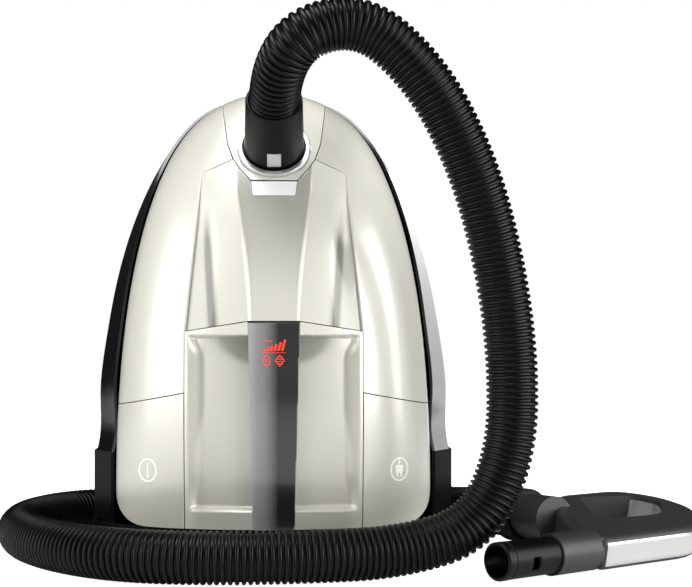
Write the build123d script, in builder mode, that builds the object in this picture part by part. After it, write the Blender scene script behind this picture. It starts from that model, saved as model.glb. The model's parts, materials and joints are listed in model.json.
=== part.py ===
from build123d import *
import math
import os

os.makedirs("parts", exist_ok=True)

# Canister vacuum cleaner standing on its rear end, in millimetres.
# X is right, Y points away from the cover, Z is up; the origin is on the floor.

# Driving sizes of the canister
nose_level = 423.0
widest_level = 70.0
cover_bottom = 36.0
cover_half = 141.0
cover_reach = 354.0
cover_front = 131.0
cover_front_level = 150.0
nose_setback = 106.0
foot_setback = 19.0
split_depth = 36.0
split_rise_level = 200.0
split_rise = 76.0
wall = 3.0
seam = 0.8

# Rear shell and bumper
shell_half = 161.5
shell_reach = 360.0
shell_back = 100.0
shell_taper_level = 300.0
shell_taper = 30.0
shell_corner = 40.0
band_depth = 25.0
rim_gap = 2.1
rim_land = 3.0
mouth_play = 1.0
bumper_half = 163.5
bumper_top = 97.0
tray_top = 35.6
tray_front = 70.0
foot_round = 6.0

# Seams of the cover, seen from the front
hood_corner_half = 76.5
hood_corner_level = 206.0
strip_top_level = 213.4
strip_top_half = 22.0
strip_foot_half = 17.6
lid_head_half = 63.0
lid_head_level = 345.0
wing_inner_level = 153.5
wing_outer_level = 140.5
pedal_corner = 28.0
pocket_half = 72.5
pocket_bottom = 55.0
pocket_depth = 18.0
floor_skin = 4.0
strip_gap = 1.1

# Hose inlet on the nose
inlet_level = 367.0
inlet_axis = Vector(0, -0.829, 0.559).normalized()
ring_radius = 32.0
ring_bore = 27.4
ring_depth = 6.5
ring_height = 2.5
sleeve_root_radius = 26.3
sleeve_rim_radius = 24.4
sleeve_length = 64.0
spigot_radius = 24.0
spigot_length = 30.0
airway_radius = 18.0
running_gap = 0.05
close_gap = 0.3
ring_round = 1.2
nose_seam = 404.0
sleeve_land = 6.0
sleeve_bevel = 2.0
button_width = 12.0
button_height = 17.0
button_level = 14.0
button_depth = 2.6
button_sink = 4.0
button_travel = 1.2
button_round = 0.8

# Display in the strip
lens_half = 11.5
lens_bottom = 175.0
lens_top = 200.0
lens_depth = 2.0
board_depth = 6.0

# Hose
hose_radius = 22.0
hose_valley = 19.6
hose_bore = 17.5
hose_rib_count = 195
hose_socket = 15.0
hose_play = 0.4

# Lid hinge and latch
hinge_front = 123.0
hinge_level = 208.0
hinge_pin_radius = 1.6
ear_radius = 3.4
ear_width = 4.5
ear_gap = 0.6
latch_top_level = 336.5
latch_foot_level = 323.0
latch_top_half = 20.5
latch_foot_half = 18.8
latch_depth = 4.0
hinge_pin_seat = 6.0
ear_slant = 0.4
hinge_relief = 8.5

# Wheels
wheel_radius = 52.0
wheel_width = 28.0
wheel_y = 80.0
wheel_z = 72.0
wheel_outer = 156.0
tyre_depth = 7.0
well_gap = 4.0
axle_radius = 5.0
hub_radius = 30.0
caster_z = 318.0
caster_radius = 13.0
caster_width = 14.0
caster_trail = 10.0
caster_reach = 118.5
socket_wall = 4.0
fork_disc = 15.0
stalk_radius = 6.0
stalk_length = 20.0
fork_plate = 3.0
small_axle = 2.5

# Pedals
pedal_travel = 4.0
pedal_icon_x = 109.0
pedal_icon_z = 86.0
stem_radius = 5.0
stem_length = 34.0

# Handle
tip_point = Vector(182, -180, 18.2)
handle_heading = 37.0
handle_lean = 10.0
tube_radius = 16.0
tube_bore = 13.6
tube_length = 84.0
tube_seat = 15.5
collar_radius = 17.8
collar_start = 62.0
collar_end = 112.0
handle_half_depth = 15.0
handle_round = 8.0
land_length = 24.0
tube_relief = 0.2
window_start = 27.0
window_length = 9.0
window_height = 11.0
panel_skin = 3.5
panel_half_depth = 10.5
panel_start = 114.0
button_skin = 2.3
pad_half_depth = 8.0
pad_length = 34.0
trim_skin = 1.4
trim_span = 60.0
cuff_length = 25.0
cuff_radius = 25.0
cuff_spigot = 17.0
cuff_seat = 15.0
boss_radius = 20.5
boss_reach = 20.5
boss_depth = 20.0
cuff_spot = (148.0, 92.0)
cuff_axis = Vector(-0.45, 0.893, -0.03).normalized()
pad_spot = (268.0, 13.0)
pad_turn = 46.0

# Inside the canister
bulkhead_level = 196.0
bulkhead_front = -4.0
motor_x = -40.0
motor_y = 34.0
motor_radius = 44.0
motor_foot = 72.0
motor_height = 78.0
fan_radius = 40.0
fan_depth = 12.0
shaft_radius = 5.0
reel_x = 24.0
reel_width = 44.0
reel_radius = 52.0
reel_core = 24.0
reel_y = 26.0
reel_z = 98.0
spindle_radius = 8.0
mount_depth = 4.0
rotor_radius = 28.0
filter_depth = 9.0
filter_half = 60.0
bag_half = 82.0
bag_front = -36.0
bag_back = 74.0
bag_height = 112.0
bag_round = 24.0
bag_taper = 5.0
board_half = 52.0
board_height = 90.0
board_level = 105.0
board_standoff = 16.0
board_post_x = 40.0
board_post_levels = (75.0, 135.0)
grille_half = 52.0
grille_bottom = 112.0
grille_top = 178.0
slat_count = 9
exhaust_depth = 14.0
outlet_radius = 9.0
outlet_x = 60.0
outlet_z = 50.0
screw_radius = 4.0
screw_x = 84.0
screw_levels = (215.0, 270.0)


def cover_half_at(z):
    """Half width of the cover at one level."""
    if z <= widest_level:
        return cover_half
    share = (z - widest_level) / cover_reach
    return cover_half * (1 - share**2) ** (1 / 3)


def shell_half_at(z):
    """Half width of the rear shell at one level."""
    share = max(0.0, z - widest_level) / shell_reach
    return shell_half * (1 - share**2) ** 0.4


def front_at(z):
    """Y of the cover's middle line at one level."""
    if z > cover_front_level:
        share = (z - cover_front_level) / (nose_level + 1 - cover_front_level)
        return -cover_front + nose_setback * share**2.65
    share = (cover_front_level - z) / (cover_front_level - cover_bottom)
    return -cover_front + foot_setback * share**2


def split_at(z):
    """Y of the edge where the cover meets the rear shell."""
    share = max(0.0, z - split_rise_level) / (nose_level + 1 - split_rise_level)
    return -split_depth + split_rise * share**2


def back_at(z):
    """Y of the rear shell's back at one level."""
    share = max(0.0, z - shell_taper_level) / (nose_level - shell_taper_level)
    return shell_back - shell_taper * share**2


def cover_blank(inset, levels):
    """Solid of the cover's outer form, drawn in by one inset."""
    with BuildPart() as blank:
        for z in levels:
            half = cover_half_at(z) - inset
            edge = split_at(z)
            depth = edge - front_at(z) - inset
            with BuildSketch(Plane.XY.offset(z)):
                with BuildLine():
                    EllipticalCenterArc((0, edge), half, depth, start_angle=180, arc_size=180)
                    Line((half, edge), (-half, edge))
                make_face()
        loft()
    return blank.part


def shell_lines(rim, side, front, back):
    """Closed outline of the rear shell at one level, open side first."""
    shoulder = front + band_depth
    corner = min(shell_corner, 0.7 * side, 0.6 * (back - shoulder))
    middle = corner * (1 - math.sqrt(0.5))
    Polyline((-rim, front), (-side, shoulder), (-side, back - corner))
    ThreePointArc(
        (-side, back - corner), (-side + middle, back - middle), (-side + corner, back)
    )
    Line((-side + corner, back), (side - corner, back))
    ThreePointArc((side - corner, back), (side - middle, back - middle), (side, back - corner))
    Polyline((side, back - corner), (side, shoulder), (rim, front), (-rim, front))


def shell_blank(levels, grow, inset):
    """Solid of the rear shell's outer form, or of its inside when inset."""
    with BuildPart() as blank:
        for z in levels:
            rim = cover_half_at(z) + (rim_gap if inset else rim_gap + rim_land)
            side = max(shell_half_at(z) + grow, rim + rim_land) - inset
            mouth = split_at(z) + seam / 2 - (mouth_play if inset else 0)
            with BuildSketch(Plane.XY.offset(z)):
                with BuildLine():
                    shell_lines(rim, side, mouth, back_at(z) - inset)
                make_face()
        loft()
    return blank.part


def front_prism(points, trim, back=None):
    """Prism along Y over an outline seen from the front, drawn in by a trim."""
    back = prism_back if back is None else back
    with BuildPart() as prism:
        with BuildSketch(Plane.XZ.offset(-back)):
            with BuildLine():
                Polyline(*points, close=True)
            make_face()
            if trim:
                offset(amount=-trim, kind=Kind.INTERSECTION)
        extrude(amount=back + prism_front)
    return prism.part


def mirrored(points):
    """Right half outline, from low middle to high middle, with its mirror image."""
    return points + [(-x, z) for x, z in reversed(points) if x > 0]


def finish(builder, name):
    """Label one piece and write its file."""
    builder.part.label = name
    export_step(builder.part, f"parts/{name}.step")


prism_front = 170.0
prism_back = 70.0
low_back = 60.0
above_nose = nose_level + 20
crown_back = 120.0
cover_levels = [cover_bottom, 100, 160, 220, 270, 315, 350, 380, 402, 416, nose_level]
low_levels = [cover_bottom, 100, 160, 235]
shell_levels = [bumper_top, 150, 200, 250, 300, 345, 380, 402, 416, nose_level]

cover_outer = cover_blank(0, cover_levels)
cover_inner = cover_blank(wall, cover_levels)
pocket_core = cover_blank(pocket_depth, low_levels)
floor_core = cover_blank(pocket_depth + floor_skin, low_levels)
strip_core = cover_blank(pocket_depth - close_gap, low_levels)
lens_core = cover_blank(lens_depth, low_levels)
lens_under = cover_blank(lens_depth + close_gap, low_levels)
board_core = cover_blank(lens_depth + board_depth, low_levels)
latch_core = cover_blank(latch_depth, cover_levels)
floor_fit = cover_blank(pocket_depth + floor_skin + close_gap, low_levels)
shell_outer = shell_blank(shell_levels, 0, 0)
shell_inner = shell_blank(shell_levels, 0, wall)
well_limit = shell_blank([wall, *shell_levels], -wall, 0)

# Front outlines of the cover's pieces
throat_shoulder = (36.5, 357)
throat_outline = mirrored(
    [
        (latch_top_half, latch_top_level),
        (30.5, 348),
        throat_shoulder,
        (41.5, 371),
        (46.5, 404),
        (49.5, above_nose),
    ]
)
latch_outline = mirrored([(latch_foot_half, latch_foot_level), (latch_top_half, latch_top_level)])
hood_outline = mirrored(
    [
        (strip_top_half + seam, strip_top_level + strip_gap),
        (hood_corner_half, hood_corner_level),
        (hood_corner_half, wing_inner_level),
        (cover_half, wing_outer_level),
        (shell_half, wing_outer_level),
        (shell_half, above_nose),
    ]
)
lid_outline = mirrored(
    [
        (strip_top_half + seam, strip_top_level + strip_gap),
        (hood_corner_half, hood_corner_level),
        (lid_head_half, lid_head_level),
        throat_shoulder,
    ]
)
front_outline = mirrored(
    [
        (hood_corner_half, cover_bottom),
        (hood_corner_half, hood_corner_level),
        (strip_top_half + seam, strip_top_level + strip_gap),
    ]
)
pocket_outline = mirrored([(pocket_half, pocket_bottom), (pocket_half, above_nose)])
strip_outline = mirrored([(strip_foot_half, cover_bottom), (strip_top_half, strip_top_level)])

lens_outline = mirrored([(lens_half, lens_bottom), (lens_half, lens_top)])
nose_outline = mirrored([(cover_half, nose_seam + seam), (cover_half, above_nose)])

throat_prism = front_prism(throat_outline, 0)
throat_fill = front_prism(throat_outline, seam)
latch_prism = front_prism(latch_outline, 0)
latch_fill = front_prism(latch_outline, seam / 2)
hood_prism = front_prism(hood_outline, seam / 2)
lid_prism = front_prism(lid_outline, seam / 2)
lid_gap = front_prism(lid_outline, -seam / 2)
front_fill = front_prism(front_outline, seam / 2, -low_back)
pocket_prism = front_prism(pocket_outline, 0)
strip_prism = front_prism(strip_outline, 0, -low_back)
strip_slot = front_prism(strip_outline, -close_gap)
lens_slot = front_prism(lens_outline, 0)
lens_prism = front_prism(lens_outline, close_gap / 2, -low_back)
nose_prism = front_prism(nose_outline, 0)

# Dust lid: the hood between the two creases, hung on two ears beside the strip
ear_x = strip_top_half + ear_gap + ear_width / 2
ear_top = strip_top_level + 8
with BuildPart() as dust_lid:
    add(cover_outer)
    add(cover_inner, mode=Mode.SUBTRACT)
    add(lid_prism, mode=Mode.INTERSECT)
    add(throat_prism, mode=Mode.SUBTRACT)
    add(latch_prism, mode=Mode.SUBTRACT)
    with BuildSketch(Plane.YZ):
        with Locations((-hinge_front, hinge_level)):
            Circle(hinge_relief)
    extrude(amount=strip_top_half + close_gap, both=True, mode=Mode.SUBTRACT)
    for side in (-1, 1):
        with BuildSketch(Plane.YZ.offset(side * ear_x)):
            with Locations((-hinge_front, hinge_level)):
                Circle(ear_radius)
            with BuildLine():
                Polyline(
                    (-hinge_front - ear_radius, hinge_level),
                    (-hinge_front - ear_radius + ear_slant, ear_top),
                    (-hinge_front + ear_radius, ear_top),
                    (-hinge_front + ear_radius, hinge_level),
                    close=True,
                )
            make_face()
            with Locations((-hinge_front, hinge_level)):
                Circle(hinge_pin_radius + running_gap, mode=Mode.SUBTRACT)
        extrude(amount=ear_width / 2, both=True)
finish(dust_lid, "dust_lid")

# Side panels: the hood beside the creases, down to the pedals
for side, name in ((-1, "left_side_panel"), (1, "right_side_panel")):
    with BuildPart() as side_panel:
        add(cover_outer)
        add(cover_inner, mode=Mode.SUBTRACT)
        add(hood_prism, mode=Mode.INTERSECT)
        add(throat_prism, mode=Mode.SUBTRACT)
        add(lid_gap, mode=Mode.SUBTRACT)
        split(bisect_by=Plane.YZ, keep=Keep.TOP if side > 0 else Keep.BOTTOM)
    finish(side_panel, name)

# Pins of the lid hinge, pressed into the strip's sides
pin_root = strip_top_half - hinge_pin_seat
pin_length = hinge_pin_seat + ear_gap + ear_width
pin_planes = [
    Plane((side * pin_root, -hinge_front, hinge_level), z_dir=(side, 0, 0)) for side in (-1, 1)
]
with BuildPart() as lid_hinge_pins:
    for plane in pin_planes:
        with BuildSketch(plane):
            Circle(hinge_pin_radius)
        extrude(amount=pin_length)
finish(lid_hinge_pins, "lid_hinge_pins")

# Front cover between the pedals, with its hand pocket
with BuildPart() as pocket_tool:
    add(pocket_prism)
    add(pocket_core, mode=Mode.SUBTRACT)
with BuildPart() as strip_tool:
    add(strip_slot)
    add(pocket_core, mode=Mode.SUBTRACT)
with BuildPart() as front_cover:
    add(cover_outer)
    add(floor_core, mode=Mode.SUBTRACT)
    add(front_fill, mode=Mode.INTERSECT)
    add(pocket_tool.part, mode=Mode.SUBTRACT)
    add(strip_tool.part, mode=Mode.SUBTRACT)
finish(front_cover, "front_cover")

# Graphite strip with its display window
with BuildPart() as lens_tool:
    add(lens_slot)
    add(board_core, mode=Mode.SUBTRACT)
with BuildPart() as display_strip:
    add(cover_outer)
    add(strip_core, mode=Mode.SUBTRACT)
    add(strip_prism, mode=Mode.INTERSECT)
    add(lens_tool.part, mode=Mode.SUBTRACT)
    for plane in pin_planes:
        with BuildSketch(plane):
            Circle(hinge_pin_radius)
        extrude(amount=pin_length, mode=Mode.SUBTRACT)
finish(display_strip, "display_strip")

with BuildPart() as display_lens:
    add(cover_outer)
    add(lens_core, mode=Mode.SUBTRACT)
    add(lens_prism, mode=Mode.INTERSECT)
finish(display_lens, "display_lens")

with BuildPart() as display_board:
    add(lens_under)
    add(board_core, mode=Mode.SUBTRACT)
    add(lens_prism, mode=Mode.INTERSECT)
finish(display_board, "display_board")


def cover_y_at(x, z):
    """Y of the cover's outer face over one front point."""
    edge = split_at(z)
    share = x / cover_half_at(z)
    return edge - (edge - front_at(z)) * math.sqrt(1 - share**2)


# Pedals: large press panels at the lower corners, each with a guide stem
stem_front = cover_y_at(pedal_icon_x, pedal_icon_z) + wall / 2
stem_back = stem_front + stem_length


def pedal(side):
    """One pedal panel with its rounded lower corner and its stem."""
    low = cover_bottom
    turn = pedal_corner * (1 - math.sqrt(0.5))
    with BuildPart() as press:
        with BuildSketch(Plane.XZ.offset(split_depth + seam)):
            with BuildLine():
                Polyline(
                    (side * (cover_half - pedal_corner), low),
                    (side * hood_corner_half, low),
                    (side * hood_corner_half, wing_inner_level),
                    (side * cover_half, wing_outer_level),
                    (side * cover_half, low + pedal_corner),
                )
                ThreePointArc(
                    (side * cover_half, low + pedal_corner),
                    (side * (cover_half - turn), low + turn),
                    (side * (cover_half - pedal_corner), low),
                )
            make_face()
            offset(amount=-seam / 2, kind=Kind.INTERSECTION)
        extrude(amount=prism_front)
        add(cover_outer, mode=Mode.INTERSECT)
        add(cover_inner, mode=Mode.SUBTRACT)
        with BuildSketch(Plane((side * pedal_icon_x, stem_front, pedal_icon_z), z_dir=(0, 1, 0))):
            Circle(stem_radius)
        extrude(amount=stem_length)
    return press


power_pedal = pedal(-1)
finish(power_pedal, "power_pedal")
rewind_pedal = pedal(1)
finish(rewind_pedal, "rewind_pedal")

# Inlet panel and nose cap
inlet_center = Vector(0, front_at(inlet_level), inlet_level)
inlet_plane = Plane(inlet_center, x_dir=(1, 0, 0), z_dir=inlet_axis)
with BuildPart() as ring_tool:
    with BuildSketch(inlet_plane):
        Circle(ring_radius + close_gap)
    extrude(amount=prism_back, both=True)
with BuildPart() as inlet_panel:
    add(cover_outer)
    add(cover_inner, mode=Mode.SUBTRACT)
    add(throat_fill, mode=Mode.INTERSECT)
    add(nose_prism, mode=Mode.SUBTRACT)
    add(ring_tool.part, mode=Mode.SUBTRACT)
finish(inlet_panel, "inlet_panel")

crown_prism = front_prism(
    mirrored([(cover_half, nose_level - wall), (cover_half, above_nose)]), 0, crown_back
)
with BuildPart() as nose_crown:
    add(cover_outer)
    add(crown_prism, mode=Mode.INTERSECT)
    add(throat_fill, mode=Mode.INTERSECT)
with BuildPart() as nose_cap:
    add(cover_outer)
    add(cover_inner, mode=Mode.SUBTRACT)
    add(throat_fill, mode=Mode.INTERSECT)
    add(nose_prism, mode=Mode.INTERSECT)
    add(ring_tool.part, mode=Mode.SUBTRACT)
    add(nose_crown.part)
finish(nose_cap, "nose_cap")

# Silver ring and the fixed socket behind it
with BuildPart() as inlet_ring:
    with BuildSketch(inlet_plane.offset(-ring_depth)):
        Circle(ring_radius)
        Circle(ring_bore, mode=Mode.SUBTRACT)
    extrude(amount=ring_depth + ring_height)
    ring_top = inlet_ring.faces().sort_by(Axis(inlet_center, inlet_axis))[-1]
    fillet(ring_top.edges(), ring_round)
finish(inlet_ring, "inlet_ring")

socket_radius = ring_bore - running_gap
with BuildPart() as inlet_socket:
    with BuildSketch(inlet_plane.offset(-spigot_length - 2 * wall)):
        Circle(ring_radius + wall)
        Circle(airway_radius, mode=Mode.SUBTRACT)
    extrude(amount=wall)
    with BuildSketch(inlet_plane.offset(-spigot_length - wall)):
        Circle(socket_radius)
        Circle(spigot_radius + running_gap, mode=Mode.SUBTRACT)
    extrude(amount=spigot_length + wall - close_gap)
finish(inlet_socket, "inlet_socket")

# Hose connector with its release button
button_out = inlet_plane.y_dir * -1
button_seat = sleeve_root_radius - button_sink
button_point = inlet_center + inlet_axis * button_level + button_out * button_seat
button_plane = Plane(button_point, x_dir=(1, 0, 0), z_dir=button_out)
hose_hole = hose_radius + hose_play
socket_level = sleeve_length - hose_socket
with BuildPart() as hose_connector:
    with BuildSketch(Plane(inlet_center, x_dir=(1, 0, 0), z_dir=button_out)):
        with BuildLine():
            Polyline(
                (airway_radius, -spigot_length),
                (spigot_radius, -spigot_length),
                (spigot_radius, 0),
                (sleeve_root_radius, close_gap),
                (sleeve_root_radius, sleeve_land),
                (sleeve_rim_radius, sleeve_length - sleeve_bevel),
                (sleeve_rim_radius - sleeve_bevel / 2, sleeve_length),
                (hose_hole, sleeve_length),
                (hose_hole, socket_level),
                (airway_radius, socket_level),
                close=True,
            )
        make_face()
    revolve(axis=Axis(inlet_center, inlet_axis))
    with BuildSketch(button_plane):
        Rectangle(button_width + 2 * close_gap, button_height + 2 * close_gap)
    extrude(amount=2 * button_sink, mode=Mode.SUBTRACT)
finish(hose_connector, "hose_connector")

with BuildPart() as release_button:
    with BuildSketch(button_plane.offset(button_travel + close_gap)):
        Rectangle(button_width, button_height)
    extrude(amount=button_depth)
    button_top = release_button.faces().sort_by(Axis(button_point, button_out))[-1]
    fillet(button_top.edges(), button_round)
finish(release_button, "release_button")

# Lid latch
with BuildPart() as lid_latch:
    add(cover_outer)
    add(latch_core, mode=Mode.SUBTRACT)
    add(latch_fill, mode=Mode.INTERSECT)
finish(lid_latch, "lid_latch")

# Rear shell with the wheel wells, the caster hole, the grille window and the screw holes
well_inner = wheel_outer - wheel_width - well_gap
well_radius = wheel_radius + well_gap
well_planes = [Plane((side * well_inner, wheel_y, wheel_z), z_dir=(side, 0, 0)) for side in (-1, 1)]
back_plane = Plane((0, shell_back, 0), x_dir=(-1, 0, 0), z_dir=(0, 1, 0))
grille_middle = (grille_bottom + grille_top) / 2
screw_spots = [(x, z) for x in (-screw_x, screw_x) for z in screw_levels]
caster_back = back_at(caster_z)
with BuildPart() as lining_tool:
    for plane in well_planes:
        with BuildSketch(plane.offset(-wall)):
            Circle(well_radius + wall)
        extrude(amount=wheel_width + wall)
    add(well_limit, mode=Mode.INTERSECT)
with BuildPart() as shell_crown:
    add(shell_outer)
    add(crown_prism, mode=Mode.INTERSECT)
with BuildPart() as chassis:
    add(shell_outer)
    add(shell_inner, mode=Mode.SUBTRACT)
    add(shell_crown.part)
    add(lining_tool.part)
    for plane in well_planes:
        with BuildSketch(plane):
            Circle(well_radius)
        extrude(amount=shell_half, mode=Mode.SUBTRACT)
        with BuildSketch(plane):
            Circle(axle_radius)
        extrude(amount=2 * wall, both=True, mode=Mode.SUBTRACT)
    with BuildSketch(back_plane):
        with Locations((0, caster_z)):
            Circle(stalk_radius + running_gap + socket_wall)
        with Locations((0, grille_middle)):
            Rectangle(2 * grille_half + 2 * close_gap, grille_top - grille_bottom + 2 * close_gap)
        with Locations(*screw_spots):
            Circle(screw_radius)
    extrude(amount=2 * wall, both=True, mode=Mode.SUBTRACT)
finish(chassis, "chassis")

# Bumper: the standing tray with the side walls above it
with BuildPart() as rear_bumper:
    with BuildSketch(Plane.XY) as tray_outline:
        with BuildLine():
            ThreePointArc(
                (-bumper_half, -split_depth),
                (0, -split_depth - tray_front),
                (bumper_half, -split_depth),
            )
            Polyline(
                (bumper_half, -split_depth),
                (bumper_half, shell_back),
                (-bumper_half, shell_back),
                (-bumper_half, -split_depth),
            )
        make_face()
        fillet(tray_outline.vertices(), shell_corner)
    extrude(amount=tray_top)
    fillet(rear_bumper.faces().sort_by(Axis.Z)[0].edges(), foot_round)
    with BuildSketch(Plane.XY.offset(wall)):
        add(tray_outline.sketch)
        offset(amount=-wall)
    extrude(amount=tray_top, mode=Mode.SUBTRACT)
    rim = cover_half + rim_gap
    edge = seam / 2 - split_depth
    for inset, mode in ((0, Mode.ADD), (wall, Mode.SUBTRACT)):
        with BuildSketch(Plane.XY.offset(tray_top)):
            with BuildLine():
                shell_lines(rim + wall - inset, bumper_half - inset, edge, shell_back - inset)
            make_face()
        extrude(amount=bumper_top - tray_top, mode=mode)
    for plane in well_planes:
        with BuildSketch(plane.offset(-wall - close_gap)):
            Circle(well_radius + wall + close_gap)
        extrude(amount=shell_half, mode=Mode.SUBTRACT)
    with BuildSketch(back_plane):
        with Locations((-outlet_x, outlet_z)):
            Circle(outlet_radius)
    extrude(amount=2 * wall, both=True, mode=Mode.SUBTRACT)
finish(rear_bumper, "rear_bumper")

with BuildPart() as cord_outlet:
    with BuildSketch(back_plane.offset(-2 * wall)):
        with Locations((-outlet_x, outlet_z)):
            Circle(outlet_radius)
            Circle(outlet_radius / 2, mode=Mode.SUBTRACT)
    extrude(amount=3 * wall)
finish(cord_outlet, "cord_outlet")

with BuildPart() as housing_screws:
    with BuildSketch(back_plane.offset(-2 * wall)):
        with Locations(*screw_spots):
            Circle(screw_radius)
    extrude(amount=2 * wall)
finish(housing_screws, "housing_screws")

# Exhaust grille and the filter behind it
slat_pitch = (grille_top - grille_bottom) / (slat_count + 1)
with BuildPart() as exhaust_grille:
    with BuildSketch(back_plane.offset(-wall)):
        with Locations((0, grille_middle)):
            Rectangle(2 * grille_half, grille_top - grille_bottom)
            with GridLocations(0, slat_pitch, 1, slat_count):
                SlotOverall(2 * grille_half - 4 * wall, slat_pitch / 2, mode=Mode.SUBTRACT)
    extrude(amount=wall)
finish(exhaust_grille, "exhaust_grille")

with BuildPart() as exhaust_filter:
    with BuildSketch(back_plane.offset(-wall - close_gap - exhaust_depth)):
        with Locations((0, grille_middle)):
            Rectangle(2 * grille_half, grille_top - grille_bottom)
    extrude(amount=exhaust_depth)
finish(exhaust_filter, "exhaust_filter")

# Rear wheels: hub, tyre and axle on each side
rim_radius = wheel_radius - tyre_depth
for side, name in ((-1, "left"), (1, "right")):
    wheel_plane = Plane(
        (side * (wheel_outer - wheel_width), wheel_y, wheel_z), x_dir=(0, 1, 0), z_dir=(side, 0, 0)
    )
    with BuildPart() as wheel_hub:
        with BuildSketch(wheel_plane):
            Circle(rim_radius)
            Circle(axle_radius + running_gap, mode=Mode.SUBTRACT)
        extrude(amount=wheel_width - wall)
        with BuildSketch(wheel_plane.offset(wheel_width - 3 * wall)):
            Circle(rim_radius - wall)
            Circle(hub_radius, mode=Mode.SUBTRACT)
        extrude(amount=wheel_width, mode=Mode.SUBTRACT)
    finish(wheel_hub, f"{name}_wheel_hub")
    with BuildPart() as wheel_tyre:
        with BuildSketch(wheel_plane):
            Circle(wheel_radius)
            Circle(rim_radius, mode=Mode.SUBTRACT)
        extrude(amount=wheel_width)
        rings = wheel_tyre.edges().filter_by(GeomType.CIRCLE).sort_by(SortBy.RADIUS)
        fillet(rings[-2:], tyre_depth / 2)
    finish(wheel_tyre, f"{name}_tyre")
    with BuildPart() as wheel_axle:
        with BuildSketch(wheel_plane.offset(-well_gap - 2 * wall)):
            Circle(axle_radius)
        extrude(amount=well_gap + 2 * wall + wheel_width - wall)
    finish(wheel_axle, f"{name}_axle")

# Front caster: socket, swivelling fork, axle and wheel
caster_plane = Plane((0, caster_back, caster_z), x_dir=(1, 0, 0), z_dir=(0, 1, 0))
fork_level = close_gap + 1
with BuildPart() as caster_socket:
    with BuildSketch(caster_plane.offset(-stalk_length - wall)):
        Circle(stalk_radius + running_gap + socket_wall)
    extrude(amount=stalk_length + wall + 1)
    with BuildSketch(caster_plane.offset(-stalk_length)):
        Circle(stalk_radius + running_gap)
    extrude(amount=2 * stalk_length, mode=Mode.SUBTRACT)
finish(caster_socket, "caster_socket")

roll_offset = caster_reach - caster_back
with BuildPart() as caster_fork:
    with BuildSketch(caster_plane.offset(-stalk_length + close_gap)):
        Circle(stalk_radius)
    extrude(amount=stalk_length + 1)
    with BuildSketch(caster_plane.offset(fork_level)):
        Circle(fork_disc)
    extrude(amount=fork_plate)
    for side in (-1, 1):
        cheek = Plane(
            (side * (caster_width / 2 + close_gap), caster_reach, caster_z - caster_trail),
            x_dir=(0, 1, 0),
            z_dir=(side, 0, 0),
        )
        with BuildSketch(cheek):
            Circle(small_axle + fork_plate)
            with BuildLine():
                Polyline(
                    (0, -side * -(small_axle + fork_plate)),
                    (fork_level - roll_offset, -side * -(small_axle + fork_plate)),
                    (fork_level - roll_offset, side * -(caster_trail + small_axle)),
                    (0, side * -(small_axle + fork_plate)),
                    close=True,
                )
            make_face()
            Circle(small_axle, mode=Mode.SUBTRACT)
        extrude(amount=fork_plate)
finish(caster_fork, "caster_fork")

roll_point = Vector(0, caster_reach, caster_z - caster_trail)
with BuildPart() as caster_axle:
    with BuildSketch(Plane(roll_point, z_dir=(1, 0, 0))):
        Circle(small_axle)
    extrude(amount=caster_width / 2 + fork_plate, both=True)
finish(caster_axle, "caster_axle")

with BuildPart() as caster_wheel:
    with BuildSketch(Plane(roll_point, z_dir=(1, 0, 0))):
        Circle(caster_radius)
        Circle(small_axle + running_gap, mode=Mode.SUBTRACT)
    extrude(amount=caster_width / 2, both=True)
    rings = caster_wheel.edges().filter_by(GeomType.CIRCLE).sort_by(SortBy.RADIUS)
    fillet(rings[-2:], small_axle)
finish(caster_wheel, "caster_wheel")

# Bulkhead between the dust chamber and the motor room, and the filter on it
room_half = shell_half_at(bulkhead_level) - wall - 2 * close_gap
room_depth = shell_back - wall - close_gap - bulkhead_front
with BuildPart() as bulkhead:
    with BuildSketch(Plane((0, bulkhead_front + room_depth / 2, bulkhead_level))):
        RectangleRounded(2 * room_half, room_depth, shell_corner)
    extrude(amount=wall)
    with BuildSketch(Plane((motor_x, motor_y, bulkhead_level))):
        Circle(airway_radius)
    extrude(amount=wall, mode=Mode.SUBTRACT)
finish(bulkhead, "bulkhead")

filter_level = bulkhead_level + wall
with BuildPart() as motor_filter:
    with BuildSketch(Plane((motor_x / 2, bulkhead_front + room_depth / 2, filter_level))):
        RectangleRounded(2 * filter_half, room_depth - shell_corner, wall)
    extrude(amount=filter_depth)
finish(motor_filter, "motor_filter")

# Dust bag with its collar plate at the inlet
bag_level = filter_level + filter_depth + close_gap
with BuildPart() as dust_bag:
    with BuildSketch(Plane((0, (bag_front + bag_back) / 2, bag_level))):
        RectangleRounded(2 * bag_half, bag_back - bag_front, bag_round)
    extrude(amount=bag_height, taper=bag_taper)
    fillet(dust_bag.faces().sort_by(Axis.Z)[-1].edges(), bag_round / 2)
finish(dust_bag, "dust_bag")

with BuildPart() as bag_collar:
    with BuildSketch(inlet_plane.offset(-spigot_length - 2 * wall - close_gap)):
        RectangleRounded(2 * ring_radius, 2 * ring_radius, wall)
        Circle(airway_radius, mode=Mode.SUBTRACT)
    extrude(amount=-wall)
finish(bag_collar, "bag_collar")

# Motor: housing, rotor with its fan, fan cover and rubber mount
motor_top = motor_foot + motor_height
fan_top = bulkhead_level - mount_depth
motor_spot = Plane((motor_x, motor_y, 0))
bearing_bore = shaft_radius + running_gap
with BuildPart() as motor_housing:
    with BuildSketch(motor_spot.offset(motor_foot)):
        Circle(motor_radius)
    extrude(amount=motor_height)
    with BuildSketch(motor_spot.offset(motor_foot + wall)):
        Circle(motor_radius - wall)
    extrude(amount=motor_height - 2 * wall, mode=Mode.SUBTRACT)
    with BuildSketch(motor_spot.offset(motor_foot)):
        Circle(bearing_bore)
    extrude(amount=motor_height, mode=Mode.SUBTRACT)
finish(motor_housing, "motor_housing")

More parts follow.
